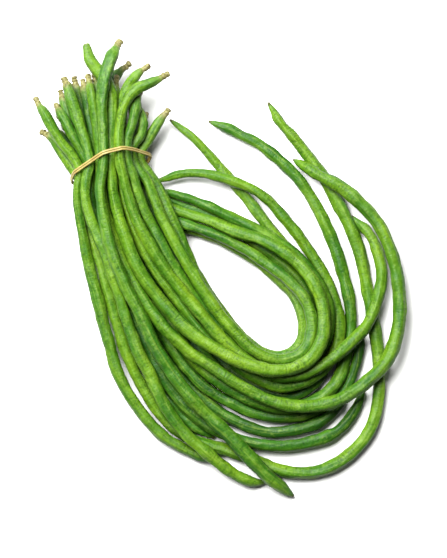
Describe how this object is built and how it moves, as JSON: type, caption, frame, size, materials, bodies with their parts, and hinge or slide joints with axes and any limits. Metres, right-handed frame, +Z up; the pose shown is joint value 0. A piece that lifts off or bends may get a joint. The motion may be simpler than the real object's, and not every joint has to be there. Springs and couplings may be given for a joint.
{
  "type": "yardlong bean bunch",
  "caption": "Bunch of very long, thin green bean pods, tied near the stems with a rubber band and laid down in a loose loop.",
  "frame": {"origin": "centre of the bounding box's bottom face, on the surface the bunch lies on", "axes": "+Z up, +Y along the bunch's longest side, towards the tied stems, +X across it, towards the loose tips"},
  "size_m": [0.2618, 0.322, 0.0414],
  "materials": {
    "bean_pod": "satin green plant skin, with faint lengthwise ridges",
    "band_rubber": "natural tan rubber, slightly dull"
  },
  "bodies": {
    "root": {"bean_01": "bean_pod", "bean_02": "bean_pod", "bean_03": "bean_pod", "bean_04": "bean_pod", "bean_05": "bean_pod", "bean_06": "bean_pod", "bean_07": "bean_pod", "bean_08": "bean_pod", "bean_09": "bean_pod", "bean_10": "bean_pod", "bean_11": "bean_pod", "bean_12": "bean_pod", "bean_13": "bean_pod", "bean_14": "bean_pod", "bean_15": "bean_pod", "bean_16": "bean_pod", "bean_17": "bean_pod", "bean_18": "bean_pod", "bean_19": "bean_pod", "bean_20": "bean_pod", "bean_21": "bean_pod", "bean_22": "bean_pod", "rubber_band": "band_rubber"}
  },
  "joints": []
}
